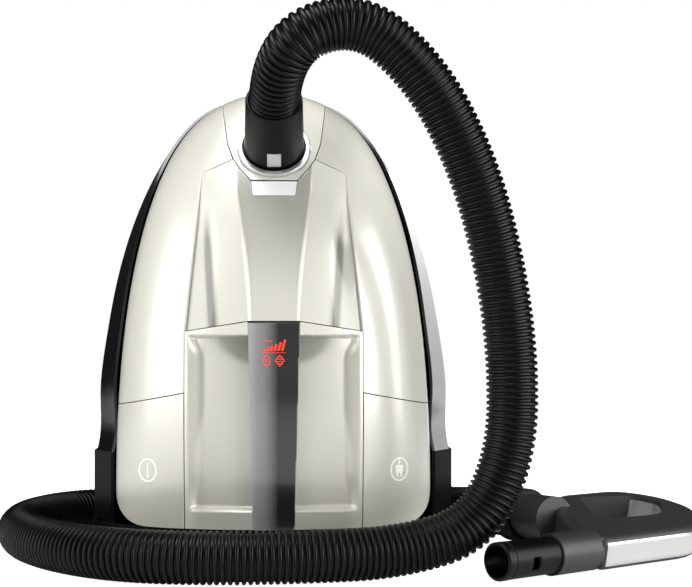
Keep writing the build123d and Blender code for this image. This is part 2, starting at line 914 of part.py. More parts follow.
with BuildPart() as motor_rotor:
    with BuildSketch(motor_spot.offset(motor_foot - wall)):
        Circle(shaft_radius)
    extrude(amount=motor_height + 2 * wall + fan_depth)
    with BuildSketch(motor_spot.offset(motor_foot + 4 * wall)):
        Circle(rotor_radius)
    extrude(amount=motor_height - 8 * wall)
    with BuildSketch(motor_spot.offset(motor_top + wall)):
        Circle(fan_radius)
    extrude(amount=fan_depth)
finish(motor_rotor, "motor_rotor")

with BuildPart() as fan_cover:
    with BuildSketch(motor_spot.offset(motor_top)):
        Circle(motor_radius)
    extrude(amount=fan_top - motor_top)
    with BuildSketch(motor_spot.offset(motor_top)):
        Circle(motor_radius - wall)
    extrude(amount=fan_top - motor_top - wall, mode=Mode.SUBTRACT)
    with BuildSketch(motor_spot.offset(motor_top)):
        Circle(airway_radius)
    extrude(amount=fan_top - motor_top, mode=Mode.SUBTRACT)
finish(fan_cover, "fan_cover")

with BuildPart() as motor_mount:
    with BuildSketch(motor_spot.offset(fan_top)):
        Circle(motor_radius)
        Circle(airway_radius + wall, mode=Mode.SUBTRACT)
    extrude(amount=mount_depth)
finish(motor_mount, "motor_mount")

# Cord reel on its stand
reel_plane = Plane((reel_x, reel_y, reel_z), x_dir=(0, 1, 0), z_dir=(1, 0, 0))
with BuildPart() as cord_reel:
    for level in (0, reel_width - wall):
        with BuildSketch(reel_plane.offset(level)):
            Circle(reel_radius)
        extrude(amount=wall)
    with BuildSketch(reel_plane):
        Circle(reel_core)
    extrude(amount=reel_width)
    with BuildSketch(reel_plane):
        Circle(spindle_radius + running_gap)
    extrude(amount=reel_width, mode=Mode.SUBTRACT)
finish(cord_reel, "cord_reel")

stand_level = reel_width + close_gap
with BuildPart() as reel_stand:
    with BuildSketch(reel_plane):
        Circle(spindle_radius)
    extrude(amount=stand_level)
    with BuildSketch(reel_plane.offset(stand_level)):
        with Locations((0, (wall - reel_z) / 2)):
            Rectangle(2 * reel_core, reel_z - wall)
        Circle(reel_core)
    extrude(amount=wall)
finish(reel_stand, "reel_stand")

# What the pedals press: the mains switch and the reel's brake, each on a post
press_back = stem_back + pedal_travel + close_gap
switch_size = 4 * stem_radius
for side, name in ((-1, "power_switch"), (1, "rewind_brake")):
    with BuildPart() as press_block:
        with BuildSketch(Plane((side * pedal_icon_x, press_back + switch_size / 2, wall))):
            Rectangle(switch_size, switch_size)
        extrude(amount=pedal_icon_z - wall)
        with BuildSketch(Plane((side * pedal_icon_x, press_back, pedal_icon_z), z_dir=(0, 1, 0))):
            Circle(stem_radius)
        extrude(amount=switch_size)
    finish(press_block, name)

# Control board behind the front cover, on four posts
board_y = -cover_front + pocket_depth + floor_skin + board_standoff
post_spots = [(x, z) for x in (-board_post_x, board_post_x) for z in board_post_levels]
with BuildPart() as control_board:
    with BuildSketch(Plane((0, board_y, board_level), x_dir=(1, 0, 0), z_dir=(0, -1, 0))):
        Rectangle(2 * board_half, board_height)
    extrude(amount=-wall / 2)
    for x, z in post_spots:
        with BuildSketch(Plane((x, board_y, z), z_dir=(0, -1, 0))):
            Circle(wall)
        extrude(amount=2 * board_standoff)
    add(floor_fit, mode=Mode.INTERSECT)
finish(control_board, "control_board")

# Handle frame: X along the tube from its open tip, Y across the finger loop
heading = math.radians(handle_heading)
lean = math.radians(handle_lean)
tube_dir = Vector(math.cos(heading), math.sin(heading), 0)
across_dir = Vector(
    -math.sin(heading) * math.cos(lean), math.cos(heading) * math.cos(lean), math.sin(lean)
)
handle_plane = Plane(tip_point, x_dir=tube_dir, z_dir=tube_dir.cross(across_dir))
tube_plane = Plane(tip_point, x_dir=across_dir, z_dir=tube_dir)
cuff_root = handle_plane.from_local_coords(Vector(*cuff_spot, 0))
cuff_plane = Plane(cuff_root, x_dir=(0, 0, 1), z_dir=cuff_axis)
grip_points = [
    (collar_end - 4, -19),
    (245, -20),
    (292, 30),
    (292, 75),
    (262, 107),
    (170, 110),
    (collar_end - 4, 16),
]
grip_rounds = [9, 76, 50, 50, 48, 50, 40]
loop_points = [(152, 30), (238, 24), (272, 58), (262, 82), (198, 94)]
loop_rounds = [6, 40, 14, 14, 8]


def loop_prism(points, rounds, inset, half_depth, round_over=0):
    """Prism over a closed rounded outline in the handle's plane."""
    with BuildPart() as prism:
        with BuildSketch(handle_plane):
            with BuildLine():
                FilletPolyline(*points, radius=rounds, close=True)
            make_face()
            if inset:
                offset(amount=-inset)
        extrude(amount=half_depth, both=True)
        if round_over:
            ends = prism.faces().sort_by(Axis(tip_point, handle_plane.z_dir))
            fillet(ends[0].edges() + ends[-1].edges(), round_over)
    return prism.part


over_depth = 2 * handle_half_depth
grip_blank = loop_prism(grip_points, grip_rounds, 0, handle_half_depth, handle_round)
panel_core = loop_prism(grip_points, grip_rounds, panel_skin, over_depth)
button_core = loop_prism(grip_points, grip_rounds, button_skin, over_depth)
loop_hole = loop_prism(loop_points, loop_rounds, 0, over_depth)
trim_outer = loop_prism(loop_points, loop_rounds, running_gap, handle_half_depth - handle_round / 2)
trim_inner = loop_prism(loop_points, loop_rounds, trim_skin, over_depth)

panel_region = [
    (panel_start, -over_depth * 2),
    (panel_start, handle_round),
    (pad_spot[0] - pad_length, over_depth),
    (pad_spot[0] - pad_length, 2 * over_depth),
    (pad_spot[0] + over_depth, 2 * over_depth),
    (pad_spot[0] + over_depth, -over_depth * 2),
]


def panel_band(half_depth):
    """Band of the grip's skin that the silver panel fills."""
    with BuildPart() as band:
        with BuildSketch(handle_plane):
            with BuildLine():
                Polyline(*panel_region, close=True)
            make_face()
        extrude(amount=half_depth, both=True)
        add(panel_core, mode=Mode.SUBTRACT)
    return band.part


def pad_block(bottom, top, grow):
    """Block over the keypad between two depths of the handle."""
    with BuildPart() as block:
        with BuildSketch(handle_plane.offset(bottom - grow)):
            with Locations(Location((*pad_spot, 0), (0, 0, pad_turn))):
                Rectangle(pad_length + 2 * grow, over_depth + 2 * grow)
        extrude(amount=top - bottom + 2 * grow)
    return block.part


panel_slot = panel_band(panel_half_depth + running_gap)
panel_fill = panel_band(panel_half_depth)
pad_slot = pad_block(-pad_half_depth, pad_half_depth, close_gap)
upper_pad = pad_block(close_gap, pad_half_depth, 0)
lower_pad = pad_block(-pad_half_depth, -close_gap, 0)

# Handle body: the finger loop with its collar and hose boss
with BuildPart() as handle_body:
    add(grip_blank)
    with BuildSketch(tube_plane.offset(collar_start)):
        Circle(collar_radius)
    extrude(amount=collar_end - collar_start)
    with BuildSketch(cuff_plane.offset(-boss_depth)):
        Circle(boss_radius)
    extrude(amount=boss_depth + boss_reach)
    add(loop_hole, mode=Mode.SUBTRACT)
    add(panel_slot, mode=Mode.SUBTRACT)
    with BuildSketch(tube_plane):
        Circle(tube_seat + running_gap)
    extrude(amount=tube_length, mode=Mode.SUBTRACT)
    with BuildSketch(tube_plane):
        Circle(tube_bore)
    extrude(amount=collar_end + boss_depth, mode=Mode.SUBTRACT)
    with BuildSketch(cuff_plane.offset(boss_reach)):
        Circle(cuff_spigot + running_gap)
    extrude(amount=-cuff_seat - close_gap, mode=Mode.SUBTRACT)
finish(handle_body, "handle_body")

with BuildPart() as handle_tube:
    with BuildSketch(tube_plane):
        Circle(tube_radius)
    extrude(amount=land_length)
    with BuildSketch(tube_plane):
        Circle(tube_radius - tube_relief)
    extrude(amount=collar_start)
    with BuildSketch(tube_plane):
        Circle(tube_seat)
    extrude(amount=tube_length - close_gap)
    with BuildSketch(tube_plane):
        Circle(tube_bore)
    extrude(amount=tube_length, mode=Mode.SUBTRACT)
    window_plane = Plane(
        tip_point + tube_dir * (window_start + window_length / 2),
        x_dir=tube_dir,
        z_dir=across_dir * -1,
    )
    with BuildSketch(window_plane):
        Rectangle(window_length, window_height)
    extrude(amount=collar_radius, mode=Mode.SUBTRACT)
finish(handle_tube, "handle_tube")

with BuildPart() as grip_panel:
    add(grip_blank)
    add(panel_fill, mode=Mode.INTERSECT)
    add(pad_slot, mode=Mode.SUBTRACT)
finish(grip_panel, "grip_panel")

for block, name in ((upper_pad, "power_up_button"), (lower_pad, "power_down_button")):
    with BuildPart() as pad_button:
        add(grip_blank)
        add(button_core, mode=Mode.SUBTRACT)
        add(block, mode=Mode.INTERSECT)
    finish(pad_button, name)

with BuildPart() as loop_trim:
    add(trim_outer)
    add(trim_inner, mode=Mode.SUBTRACT)
    with BuildSketch(handle_plane):
        with Locations((loop_points[0][0], loop_points[-1][1])):
            Rectangle(trim_span, 2 * trim_span)
        with Locations(loop_points[2]):
            Rectangle(trim_span / 2, 2 * trim_span)
    extrude(amount=over_depth, both=True, mode=Mode.INTERSECT)
finish(loop_trim, "loop_trim")

# Hose cuff, which turns in the handle's boss
cuff_level = boss_reach + close_gap
with BuildPart() as hose_cuff:
    with BuildSketch(cuff_plane.offset(boss_reach - cuff_seat)):
        Circle(cuff_spigot)
    extrude(amount=cuff_seat + close_gap)
    with BuildSketch(cuff_plane.offset(cuff_level)):
        Circle(cuff_radius)
    extrude(amount=cuff_length)
    with BuildSketch(cuff_plane.offset(boss_reach - cuff_seat)):
        Circle(tube_bore)
    extrude(amount=cuff_seat + cuff_length, mode=Mode.SUBTRACT)
    with BuildSketch(cuff_plane.offset(cuff_level + cuff_length)):
        Circle(hose_hole)
    extrude(amount=-hose_socket, mode=Mode.SUBTRACT)
finish(hose_cuff, "hose_cuff")

# Hose: out of the connector in an arch, down, round the front, the left and the back
hose_start = inlet_center + inlet_axis * (sleeve_length - hose_socket)
hose_end = cuff_root + cuff_axis * (cuff_level + cuff_length - hose_socket)
floor_line = hose_radius + close_gap
hose_points = [
    hose_start,
    hose_start + inlet_axis * 80,
    Vector(68, -174, 468),
    Vector(126, -164, 420),
    Vector(166, -150, 348),
    Vector(190, -140, 266),
    Vector(202, -137, 182),
    Vector(200, -139, 102),
    Vector(170, -143, 40),
    Vector(104, -151, floor_line),
    Vector(28, -173, floor_line),
    Vector(-56, -178, floor_line),
    Vector(-130, -158, floor_line),
    Vector(-190, -100, floor_line),
    Vector(-231, -20, floor_line),
    Vector(-236, 68, floor_line),
    Vector(-202, 143, floor_line),
    Vector(-128, 168, floor_line),
    Vector(-36, 179, floor_line),
    Vector(58, 179, floor_line),
    Vector(136, 164, floor_line),
    Vector(188, 128, 25),
    hose_end + cuff_axis * 66,
    hose_end,
]
hose_runs = [b - a for a, b in zip(hose_points, hose_points[1:])]
hose_radii = []
for before, after in zip(hose_runs, hose_runs[1:]):
    half_turn = math.radians(before.get_angle(after) / 2)
    hose_radii.append(0.45 * min(before.length, after.length) / math.tan(half_turn))
print("hose radii", [round(radius) for radius in hose_radii])
with BuildLine() as hose_route:
    FilletPolyline(*hose_points, radius=hose_radii)
hose_wire = hose_route.wires()[0]
hose_length = hose_wire.length
print("hose length", round(hose_length, 1))

# Ribs: four circles each, valley to crest and back, on an axis carried along the route
rib_pitch = hose_length / hose_rib_count
rib_steps = [(0.0, hose_valley), (0.2, hose_radius), (0.55, hose_radius), (0.75, hose_valley)]
rib_x = Vector(1, 0, 0)
with BuildPart() as hose:
    for rib in range(hose_rib_count + 1):
        for step, radius in rib_steps[: 4 if rib < hose_rib_count else 1]:
            place = min((rib + step) * rib_pitch, hose_length)
            along = hose_wire.tangent_at(place, position_mode=PositionMode.LENGTH)
            point = hose_wire.position_at(place, position_mode=PositionMode.LENGTH)
            rib_x = (rib_x - along * rib_x.dot(along)).normalized()
            with BuildSketch(Plane(point, x_dir=rib_x, z_dir=along)):
                Circle(radius)
    loft(ruled=True, clean=False)
    with BuildSketch(Plane(hose_start, x_dir=(1, 0, 0), z_dir=inlet_axis)):
        Circle(hose_bore)
    sweep(path=hose_wire, mode=Mode.SUBTRACT, clean=False)
finish(hose, "hose")
print("hose volume", round(hose.part.volume))
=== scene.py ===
import json
import math

import bpy
from bpy.props import FloatProperty, FloatVectorProperty, IntProperty, PointerProperty
from mathutils import Matrix, Vector


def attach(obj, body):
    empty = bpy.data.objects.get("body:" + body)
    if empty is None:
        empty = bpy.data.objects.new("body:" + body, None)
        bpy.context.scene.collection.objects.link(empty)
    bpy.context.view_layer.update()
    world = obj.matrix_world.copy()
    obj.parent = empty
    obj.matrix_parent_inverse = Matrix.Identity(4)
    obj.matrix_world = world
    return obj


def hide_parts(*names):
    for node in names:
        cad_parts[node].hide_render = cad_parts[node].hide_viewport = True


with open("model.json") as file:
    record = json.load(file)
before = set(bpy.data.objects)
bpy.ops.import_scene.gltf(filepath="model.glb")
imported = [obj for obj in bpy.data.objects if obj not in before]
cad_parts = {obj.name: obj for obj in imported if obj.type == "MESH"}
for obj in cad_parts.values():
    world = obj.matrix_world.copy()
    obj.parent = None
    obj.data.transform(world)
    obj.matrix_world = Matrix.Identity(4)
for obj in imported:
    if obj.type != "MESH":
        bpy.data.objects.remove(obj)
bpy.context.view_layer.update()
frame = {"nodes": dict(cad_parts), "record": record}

bl_info = {
    "name": "Canister vacuum cleaner",
    "version": (1, 0, 0),
    "blender": (4, 5, 0),
    "location": "3D View > Sidebar > Cleaner",
    "description": "Dresses a packed canister vacuum cleaner with its glossy cover, hose and handle",
    "category": "Object",
}

MM = 0.001
FINISH = {}

# The cover's form, in millimetres, as the solids have it
NOSE_LEVEL = 423.0
WIDEST_LEVEL = 70.0
COVER_BOTTOM = 36.0
COVER_HALF = 141.0
COVER_REACH = 354.0
COVER_FRONT = 131.0
COVER_FRONT_LEVEL = 150.0
SPLIT_DEPTH = 36.0
SPLIT_RISE_LEVEL = 200.0
SPLIT_RISE = 76.0
NOSE_SWEEP = 106.0
NOSE_POWER = 2.65
FOOT_SWEEP = 19.0
SEAM = 0.8
LID_GAP = 0.15
LID_EDGE = 0.15
FLANK_SKIN = 0.007
LATCH_SKIN = 0.004
STRIP_SKIN = 0.014
PRINT_SKIN = 0.0001

# Seams of the cover, seen from the front
HOOD_CORNER = (76.5, 206.0)
STRIP_TOP = (22.0, 213.4)
STRIP_FOOT = (17.6, COVER_BOTTOM)
WING_INNER = (76.5, 153.5)
WING_OUTER = (COVER_HALF, 140.5)
WING_FALL = (WING_INNER[1] - WING_OUTER[1]) / (WING_OUTER[0] - WING_INNER[0])
LATCH_TOP = (20.5, 336.5)
LATCH_FOOT = (18.8, 323.0)
ABOVE_NOSE = NOSE_LEVEL + 20
NOSE_SEAM = 404.0
SHOULDER = (36.5, 357.0)
THROAT = [LATCH_TOP, (30.5, 348), SHOULDER, (41.5, 371), (46.5, NOSE_SEAM), (49.5, ABOVE_NOSE)]
LID_HEAD = (63.0, 345.0)
CREASE = [HOOD_CORNER, LID_HEAD, SHOULDER]
LID_FOOT_RISE = 0.159
LID_HEAD_RISE = 0.453
POCKET_HEAD_RISE = 0.158
SIDE_TOP = 416.2
PEDAL_CORNER = 28.0
PEDAL_ICON = (109.0, 86.0)
CHANNEL_HALF = 20.3
CHANNEL_GROWTH = 13.5
CHANNEL_EDGE = 2.2
INLET_CENTRE = Vector((0, -73.87, 367.0)) * MM
INLET_AXIS = Vector((0, -0.829, 0.559)).normalized()
RING_RADIUS = 32.3

# The handle: its tube's tip, the tube's line and the line across its finger loop
TIP = Vector((182, -180, 18.2))
HEADING = math.radians(37)
LEAN = math.radians(10)
TUBE_DIR = Vector((math.cos(HEADING), math.sin(HEADING), 0))
ACROSS = Vector(
    (-math.sin(HEADING) * math.cos(LEAN), math.cos(HEADING) * math.cos(LEAN), math.sin(LEAN))
)
CUFF_ROOT = TIP + TUBE_DIR * 148 + ACROSS * 92

# The hose's route in the solids, in millimetres, from the connector to the cuff
HOSE_START = INLET_CENTRE / MM + INLET_AXIS * 49
CUFF_AXIS = Vector((-0.45, 0.893, -0.03)).normalized()
HOSE_END = CUFF_ROOT + CUFF_AXIS * 30.8
FLOOR_LINE = 22.3
RIB_STEPS = [
    (0.0, 0.0), (0.12, 0.0), (0.22, 0.7), (0.4, 1.0), (0.6, 1.0), (0.78, 0.7), (0.88, 0.0), (1.0, 0.0),
]
HOSE_ROUTE = [
    HOSE_START,
    HOSE_START + INLET_AXIS * 80,
    Vector((68, -174, 468)),
    Vector((126, -164, 420)),
    Vector((166, -150, 348)),
    Vector((190, -140, 266)),
    Vector((202, -137, 182)),
    Vector((200, -139, 102)),
    Vector((170, -143, 40)),
    Vector((104, -151, FLOOR_LINE)),
    Vector((28, -173, FLOOR_LINE)),
    Vector((-56, -178, FLOOR_LINE)),
    Vector((-130, -158, FLOOR_LINE)),
    Vector((-190, -100, FLOOR_LINE)),
    Vector((-231, -20, FLOOR_LINE)),
    Vector((-236, 68, FLOOR_LINE)),
    Vector((-202, 143, FLOOR_LINE)),
    Vector((-128, 168, FLOOR_LINE)),
    Vector((-36, 179, FLOOR_LINE)),
    Vector((58, 179, FLOOR_LINE)),
    Vector((136, 164, FLOOR_LINE)),
    Vector((188, 128, 25)),
    HOSE_END + CUFF_AXIS * 66,
    HOSE_END,
]

# Place, size and power of each lamp, in metres and watts; the edge panel lights the rear shell only
LAMP_AIM = Vector((0, 0, 0.24))
LAMPS = {
    "left_softbox": ((-1.65, -0.8, 0.7), (1.6, 1.5), 26),
    "right_softbox": ((1.65, -0.8, 0.65), (1.7, 1.5), 45),
    "high_softbox": ((-0.3, -0.3, 1.8), (1.2, 0.9), 22),
    "edge_panel": ((0.95, 1.15, 0.5), (1.5, 1.3), 11),
}


def smooth(start, end, value):
    """Share from 0 at start to 1 at end, level at both."""
    share = min(1.0, max(0.0, (value - start) / (end - start)))
    return share * share * (3 - 2 * share)


def cover_half_at(z):
    """Half width of the cover at one level."""
    if z <= WIDEST_LEVEL:
        return COVER_HALF
    share = min(1.0, (z - WIDEST_LEVEL) / COVER_REACH)
    return COVER_HALF * (1 - share**2) ** (1 / 3)


def front_at(z):
    """Y of the cover's middle line at one level."""
    if z > COVER_FRONT_LEVEL:
        share = (z - COVER_FRONT_LEVEL) / (NOSE_LEVEL + 1 - COVER_FRONT_LEVEL)
        return -COVER_FRONT + NOSE_SWEEP * share**NOSE_POWER
    share = (COVER_FRONT_LEVEL - z) / (COVER_FRONT_LEVEL - COVER_BOTTOM)
    return -COVER_FRONT + FOOT_SWEEP * share**2


def split_at(z):
    """Y of the edge where the cover meets the rear shell."""
    share = max(0.0, z - SPLIT_RISE_LEVEL) / (NOSE_LEVEL + 1 - SPLIT_RISE_LEVEL)
    return -SPLIT_DEPTH + SPLIT_RISE * share**2


def cover_y_at(x, z):
    """Y of the cover's outer face over one front point."""
    edge = split_at(z)
    share = min(1.0, abs(x) / cover_half_at(z))
    return edge - (edge - front_at(z)) * math.sqrt(1 - share**2)


def mirrored(points):
    """Right half outline, from low middle to high middle, with its mirror image."""
    return list(points) + [(-x, z) for x, z in reversed(points) if x > 0]


def drawn_in(points, gap):
    """The outline drawn in by a gap, with its corners kept."""
    count = len(points)
    area = sum(a[0] * b[1] - b[0] * a[1] for a, b in zip(points, points[1:] + points[:1]))
    turn = 1 if area > 0 else -1
    inner = []
    for index in range(count):
        before, here, after = (Vector(points[(index + step) % count]) for step in (-1, 0, 1))
        first = (here - before).normalized()
        second = (after - here).normalized()
        side = Vector((-first.y, first.x)) * turn
        other = Vector((-second.y, second.x)) * turn
        inner.append(tuple(here + (side + other) * (gap / (1 + side.dot(other)))))
    return inner


class Wire:
    """A socket of a material's nodes, so that maths reads as plain sums and products."""

    def __init__(self, tree, socket=None):
        self.tree = tree
        self.socket = socket

    def node(self, kind, settings=None, inputs=None, out=0):
        """Add one node with its settings first and its sockets after."""
        made = self.tree.nodes.new(kind)
        for key, value in (settings or {}).items():
            if key == "stops":
                for stop, (place, level) in zip(self.stops(made, len(value)), value):
                    stop.position = place
                    stop.color = (level, level, level, 1.0)
            else:
                setattr(made, key, value)
        for key, value in (inputs or {}).items():
            if isinstance(value, Wire):
                self.tree.links.new(value.socket, made.inputs[key])
            else:
                made.inputs[key].default_value = value
        return Wire(self.tree, made.outputs[out])

    @staticmethod
    def stops(made, count):
        """The ramp's stops, as many as are asked for."""
        elements = made.color_ramp.elements
        while len(elements) < count:
            elements.new(1.0)
        return elements

    def maths(self, operation, first, second):
        return self.node("ShaderNodeMath", {"operation": operation}, {0: first, 1: second})

    def __add__(self, other):
        return self.maths("ADD", self, other)

    __radd__ = __add__

    def __sub__(self, other):
        return self.maths("SUBTRACT", self, other)

    def __mul__(self, other):
        return self.maths("MULTIPLY", self, other)

    __rmul__ = __mul__


def new_material(name):
    """An empty node material with its shader, output and a wire to build from."""
    material = bpy.data.materials.new(name)
    material.use_nodes = True
    tree = material.node_tree
    return material, Wire(tree), tree.nodes["Principled BSDF"]


def tint(wire, colour, share, low, high):
    """The colour between a darker and a lighter shade of itself, by a share."""
    return wire.node(
        "ShaderNodeMix",
        {"data_type": "RGBA"},
        {
            "Factor": share,
            6: (*(low * c for c in colour), 1.0),
            7: (*(high * c for c in colour), 1.0),
        },
        out=2,
    )


def moulded(
    name, colour, rough, coat=0.0, grain=900.0, depth=0.02, mottle=0.06, metal=0.0, spread=0.06,
    shine=0.5, shaded_tone=0.25,
):
    """Moulded plastic: a faint mottle, uneven gloss, a fine grain and the painted shade that its mesh carries.
    """
    material, wire, shader = new_material(name)
    place = wire.node("ShaderNodeTexCoord", out=3)
    cloud = wire.node("ShaderNodeTexNoise", None, {"Vector": place, "Scale": 28.0, "Detail": 3.0})
    speck = wire.node("ShaderNodeTexNoise", None, {"Vector": place, "Scale": grain, "Detail": 2.0})
    base = tint(wire, colour, cloud, 1 - mottle, 1 + mottle)
    # painted shade: the mesh's attribute darkens the paint towards a shaded tone of its own colour
    flop = wire.node("ShaderNodeAttribute", {"attribute_name": "flop"}, out=2)
    base = wire.node(
        "ShaderNodeMix", {"data_type": "RGBA"},
        {"Factor": flop, 6: base, 7: (*(shaded_tone * c for c in colour), 1.0)}, out=2,
    )
    bump = wire.node("ShaderNodeBump", None, {"Strength": depth, "Distance": 0.0004, "Height": speck})
    gloss = rough + spread * (cloud - 0.5)
    link = material.node_tree.links.new
    link(base.socket, shader.inputs["Base Color"])
    link(gloss.socket, shader.inputs["Roughness"])
    link(bump.socket, shader.inputs["Normal"])
    shader.inputs["Metallic"].default_value = metal
    shader.inputs["Coat Weight"].default_value = coat
    shader.inputs["Coat Roughness"].default_value = 0.12
    shader.inputs["Specular IOR Level"].default_value = shine
    return material


def lit(name, colour, strength):
    """A printed mark that glows a little."""
    material, _, shader = new_material(name)
    shader.inputs["Base Color"].default_value = (*colour, 1.0)
    shader.inputs["Roughness"].default_value = 0.4
    shader.inputs["Emission Color"].default_value = (*colour, 1.0)
    shader.inputs["Emission Strength"].default_value = strength
    return material


def joined(pieces):
    """Join objects into the first of them."""
    bpy.ops.object.select_all(action="DESELECT")
    for piece in pieces:
        piece.select_set(True)
    bpy.context.view_layer.objects.active = pieces[0]
    bpy.ops.object.join()
    return bpy.context.object


def alone(piece):
    """Select one object and make it the active one."""
    bpy.ops.object.select_all(action="DESELECT")
    piece.hide_set(False)
    piece.select_set(True)
    bpy.context.view_layer.objects.active = piece


def shaped(piece, kind, **settings):
    """Add one modifier, set it and apply it."""
    modifier = piece.modifiers.new(kind.title(), kind)
    for key, value in settings.items():
        setattr(modifier, key, value)
    alone(piece)
    bpy.ops.object.modifier_apply(modifier=modifier.name)


def settled(piece, name, body, material, nodes=(), angle=35.0):
    """Name a finished piece, put its place in its mesh and set it on its body."""
    alone(piece)
    bpy.ops.object.transform_apply(location=True, rotation=True, scale=True)
    bpy.ops.object.shade_smooth_by_angle(angle=math.radians(angle))
    piece.name = name
    piece.data.name = name
    piece.data.materials.clear()
    piece.data.materials.append(material)
    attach(piece, body)
    if nodes:
        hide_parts(*nodes)
    return piece


def stamp(outline, depth=0.0):
    """A flat face over an outline seen from the front, in millimetres, at one depth in metres."""
    bpy.ops.object.select_all(action="DESELECT")
    bpy.ops.mesh.primitive_circle_add(vertices=len(outline), radius=1, fill_type="NGON")
    mark = bpy.context.object
    for corner, (x, z) in zip(mark.data.vertices, outline):
        corner.co = (x * MM, depth, z * MM)
    return mark


def prism(outline, low=-0.2, high=0.12):
    """A block along Y over an outline seen from the front, in millimetres."""
    block = stamp(outline, low)
    bpy.ops.object.mode_set(mode="EDIT")
    bpy.ops.mesh.select_all(action="SELECT")
    bpy.ops.mesh.extrude_region_move(TRANSFORM_OT_translate={"value": (0, high - low, 0)})
    bpy.ops.mesh.select_all(action="SELECT")
    bpy.ops.mesh.normals_make_consistent(inside=False)
    bpy.ops.object.mode_set(mode="OBJECT")
    return block


def carved(piece, tool, operation):
    """Cut a piece by a tool and throw the tool away."""
    shaped(piece, "BOOLEAN", object=tool, operation=operation, solver="EXACT")
    bpy.data.objects.remove(tool)


def along(points, level):
    """X at one level on a line through points of x and level, in rising levels."""
    for low, high in zip(points, points[1:]):
        if level <= high[1]:
            break
    share = max(0.0, (level - low[1]) / (high[1] - low[1]))
    return low[0] + (high[0] - low[0]) * share


def channel_at(z):
    """Half width of the hood's middle channel at one level."""
    return CHANNEL_HALF + CHANNEL_GROWTH * smooth(190, 372, z) ** 1.25


def bent(levels, turn):
    """A rule for a sheet between two levels, turned to both sides by an angle in degrees."""

    def where(across, up):
        z = levels[0] + up * (levels[1] - levels[0])
        return cover_half_at(z) * math.sin(math.radians(turn) * across), z

    return where


def settle(across, up, low, high, x_at):
    """The spot of a share across and up between two edges that depend on x."""
    z = 200.0
    for _ in range(6):
        x = x_at(across, z)
        z = low(abs(x)) + up * (high(abs(x)) - low(abs(x)))
    return x_at(across, z), z


def lid_spot(across, up):
    """Spot on the lid, with columns that follow the channel's edges and the creases."""

    def x_at(share, z):
        size = abs(share)
        channel = channel_at(z)
        edge = along(CREASE, z) - LID_GAP
        if size < 0.3:
            x = (channel - CHANNEL_EDGE) * size / 0.3
        elif size < 0.5:
            x = channel - CHANNEL_EDGE + 2 * CHANNEL_EDGE * (size - 0.3) / 0.2
        else:
            x = channel + CHANNEL_EDGE + (edge - channel - CHANNEL_EDGE) * (size - 0.5) / 0.5
        return math.copysign(x, share)

    def low(x):
        return HOOD_CORNER[1] + SEAM / 2 + min(54.2, HOOD_CORNER[0] - x) * LID_FOOT_RISE

    def high(x):
        return LID_HEAD[1] - LID_GAP + min(26.5, max(0.0, LID_HEAD[0] - x)) * LID_HEAD_RISE

    return settle(across, up, low, high, x_at)


def side_spot(across, up):
    """Spot on the right side panel, from the crease to the rear edge."""
    inner = [(WING_INNER[0], 100), HOOD_CORNER, LID_HEAD, *THROAT[2:]]

    def x_at(share, z):
        half = cover_half_at(z)
        start = math.asin(min(1.0, (along(inner, z) + LID_GAP) / half))
        return half * math.sin(start + (math.pi / 2 - start) * share)

    def low(x):
        return WING_INNER[1] - 1.0 - (x - WING_INNER[0]) * WING_FALL

    return settle(across, up, low, lambda x: SIDE_TOP, x_at)


def pocket_spot(across, up):
    """Spot on the right half of the front cover, from the strip to the pedal."""

    def x_at(share, z):
        inner = along([STRIP_FOOT, STRIP_TOP], z) + 0.3
        return inner + (HOOD_CORNER[0] - SEAM / 2 - inner) * share

    def high(x):
        return HOOD_CORNER[1] - SEAM / 2 + min(53.7, HOOD_CORNER[0] - x) * POCKET_HEAD_RISE

    return settle(across, up, lambda x: COVER_BOTTOM + SEAM / 2, high, x_at)


def on_side(rule, side):
    """A rule of the right side, for the right or the left."""

    def where(across, up):
        x, z = rule((1 + side * across) / 2, up)
        return side * x, z

    return where


def cover_sheet(where, relief, columns, rows, thick, flop=None):
    """A sheet on the cover's form with its relief, its painted shade and its thickness."""
    bpy.ops.object.select_all(action="DESELECT")
    bpy.ops.mesh.primitive_grid_add(x_subdivisions=columns, y_subdivisions=rows, size=2)
    sheet = bpy.context.object
    # the sheet carries painted shade, worked out from each point's place on the cover
    shade = sheet.data.attributes.new("flop", "FLOAT", "POINT")
    for spot in sheet.data.vertices:
        x, z = where(spot.co.x, (spot.co.y + 1) / 2)
        shade.data[spot.index].value = flop(x, z) if flop else 0.0
        half, edge = cover_half_at(z), split_at(z)
        depth = edge - front_at(z)
        angle = math.asin(max(-1.0, min(1.0, x / half)))
        y = edge - depth * math.cos(angle)
        inward = Vector((-math.sin(angle) / half, math.cos(angle) / depth)).normalized()
        drop = relief(x, z) if relief else 0.0
        spot.co = Vector((x + inward.x * drop, y + inward.y * drop, z)) * MM
    shaped(sheet, "SOLIDIFY", thickness=thick, offset=-1.0)
    return sheet


